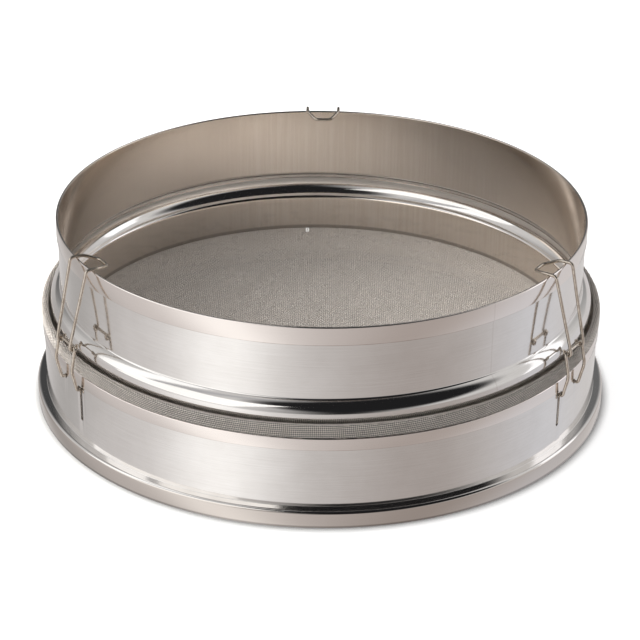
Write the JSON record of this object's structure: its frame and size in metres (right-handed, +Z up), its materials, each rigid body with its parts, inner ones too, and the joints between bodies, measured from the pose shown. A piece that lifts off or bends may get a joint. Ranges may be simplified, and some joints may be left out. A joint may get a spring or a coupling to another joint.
{
  "type": "tamis drum sieve",
  "caption": "Drum sieve of two thin steel rings that clamp a tensioned woven wire cloth, held together by hinged wire clips that hook over the top rim.",
  "frame": {"origin": "on the axis of the rings, on the plane of the lower lip that the sieve stands on", "axes": "+Z up along the axis of the rings, +Y towards the clip that is farthest from the viewer in the picture, +X to the viewer's right"},
  "size_m": [0.3306, 0.3308, 0.1125],
  "materials": {
    "ring_steel": "bright rolled stainless steel",
    "hoop_steel": "plain stainless strip",
    "wire_cloth": "woven stainless wire cloth",
    "clip_wire": "drawn stainless wire"
  },
  "bodies": {
    "base": {"lower_ring": "ring_steel", "upper_ring": "ring_steel", "mesh_cloth": "wire_cloth", "rim_hoop": "hoop_steel"},
    "link_back": {"link_back": "clip_wire"},
    "hook_back": {"hook_back": "clip_wire"},
    "link_left": {"link_left": "clip_wire"},
    "hook_left": {"hook_left": "clip_wire"},
    "link_right": {"link_right": "clip_wire"},
    "hook_right": {"hook_right": "clip_wire"}
  },
  "joints": [
    {"name": "link_back_hinge", "type": "hinge", "parent": "base", "child": "link_back", "pos_m": [0, 0.15937, 0.0415], "axis": [-1, 0, 0], "range_deg": [0, 30]},
    {"name": "hook_back_hinge", "type": "hinge", "parent": "link_back", "child": "hook_back", "pos_m": [0, 0.1622, 0.0675], "axis": [-1, 0, 0], "range_deg": [0, 150]},
    {"name": "link_left_hinge", "type": "hinge", "parent": "base", "child": "link_left", "pos_m": [-0.13515, -0.08445, 0.0415], "axis": [0.5299, -0.848, 0], "range_deg": [0, 30]},
    {"name": "hook_left_hinge", "type": "hinge", "parent": "link_left", "child": "hook_left", "pos_m": [-0.13755, -0.08595, 0.0675], "axis": [0.5299, -0.848, 0], "range_deg": [0, 150]},
    {"name": "link_right_hinge", "type": "hinge", "parent": "base", "child": "link_right", "pos_m": [0.13515, -0.08445, 0.0415], "axis": [0.5299, 0.848, 0], "range_deg": [0, 30]},
    {"name": "hook_right_hinge", "type": "hinge", "parent": "link_right", "child": "hook_right", "pos_m": [0.13755, -0.08595, 0.0675], "axis": [0.5299, 0.848, 0], "range_deg": [0, 150]}
  ]
}
